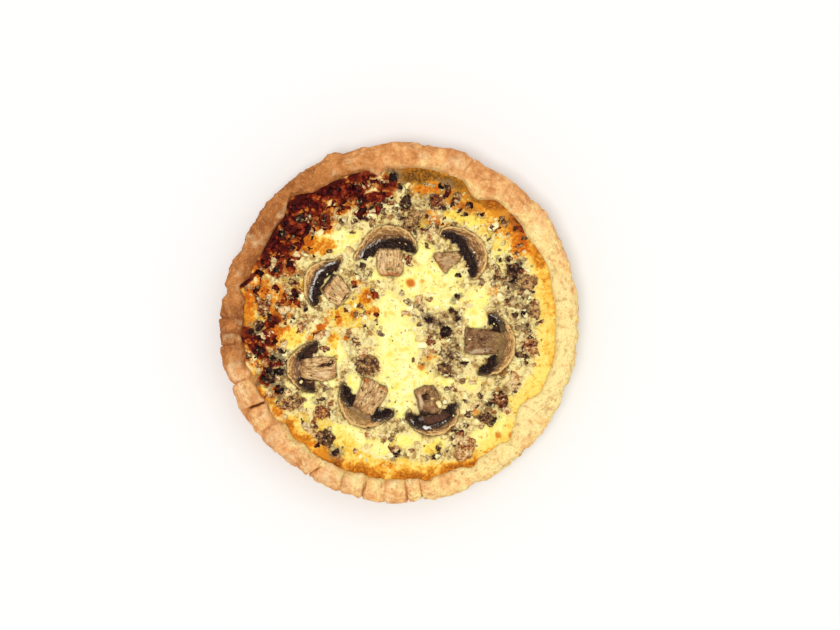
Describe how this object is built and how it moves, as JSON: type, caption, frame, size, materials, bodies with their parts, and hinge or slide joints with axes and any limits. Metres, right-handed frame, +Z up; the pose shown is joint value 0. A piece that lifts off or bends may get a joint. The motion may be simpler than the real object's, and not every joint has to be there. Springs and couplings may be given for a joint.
{
  "type": "chicken and mushroom pie",
  "caption": "Round open-topped savoury pie: a crimped shortcrust case with a set cheese and custard filling, topped with lengthwise mushroom slices and chunks of mushroom and chicken.",
  "frame": {"origin": "middle of the pie's outline seen from above, on the plane that it stands on", "axes": "+Z up through the open top; +X to the right and +Y away from the viewer as pictured from above"},
  "size_m": [0.2292, 0.2302, 0.0355],
  "materials": {
    "pastry": "dry baked shortcrust, matte and finely pitted",
    "custard": "set custard and melted cheese, satin with browned spots",
    "mushroom": "cooked mushroom flesh, moist satin",
    "roasted_mushroom": "dark roasted mushroom, moist satin",
    "chicken": "browned chicken, satin"
  },
  "bodies": {
    "root": {"crust": "pastry", "filling": "custard", "mushroom_slice_top": "mushroom", "mushroom_slice_upper_right": "mushroom", "mushroom_slice_right": "mushroom", "mushroom_slice_lower_right": "mushroom", "mushroom_slice_bottom": "mushroom", "mushroom_slice_lower_left": "mushroom", "mushroom_slice_upper_left": "mushroom", "mushroom_chunk_1": "roasted_mushroom", "mushroom_chunk_2": "roasted_mushroom", "mushroom_chunk_3": "roasted_mushroom", "mushroom_chunk_4": "roasted_mushroom", "mushroom_chunk_5": "roasted_mushroom", "mushroom_chunk_6": "roasted_mushroom", "mushroom_chunk_7": "roasted_mushroom", "mushroom_chunk_8": "roasted_mushroom", "mushroom_chunk_9": "roasted_mushroom", "mushroom_chunk_10": "roasted_mushroom", "mushroom_chunk_11": "roasted_mushroom", "mushroom_chunk_12": "roasted_mushroom", "chicken_chunk_1": "chicken", "chicken_chunk_2": "chicken", "chicken_chunk_3": "chicken", "chicken_chunk_4": "chicken", "chicken_chunk_5": "chicken", "chicken_chunk_6": "chicken", "chicken_chunk_7": "chicken"}
  },
  "joints": []
}
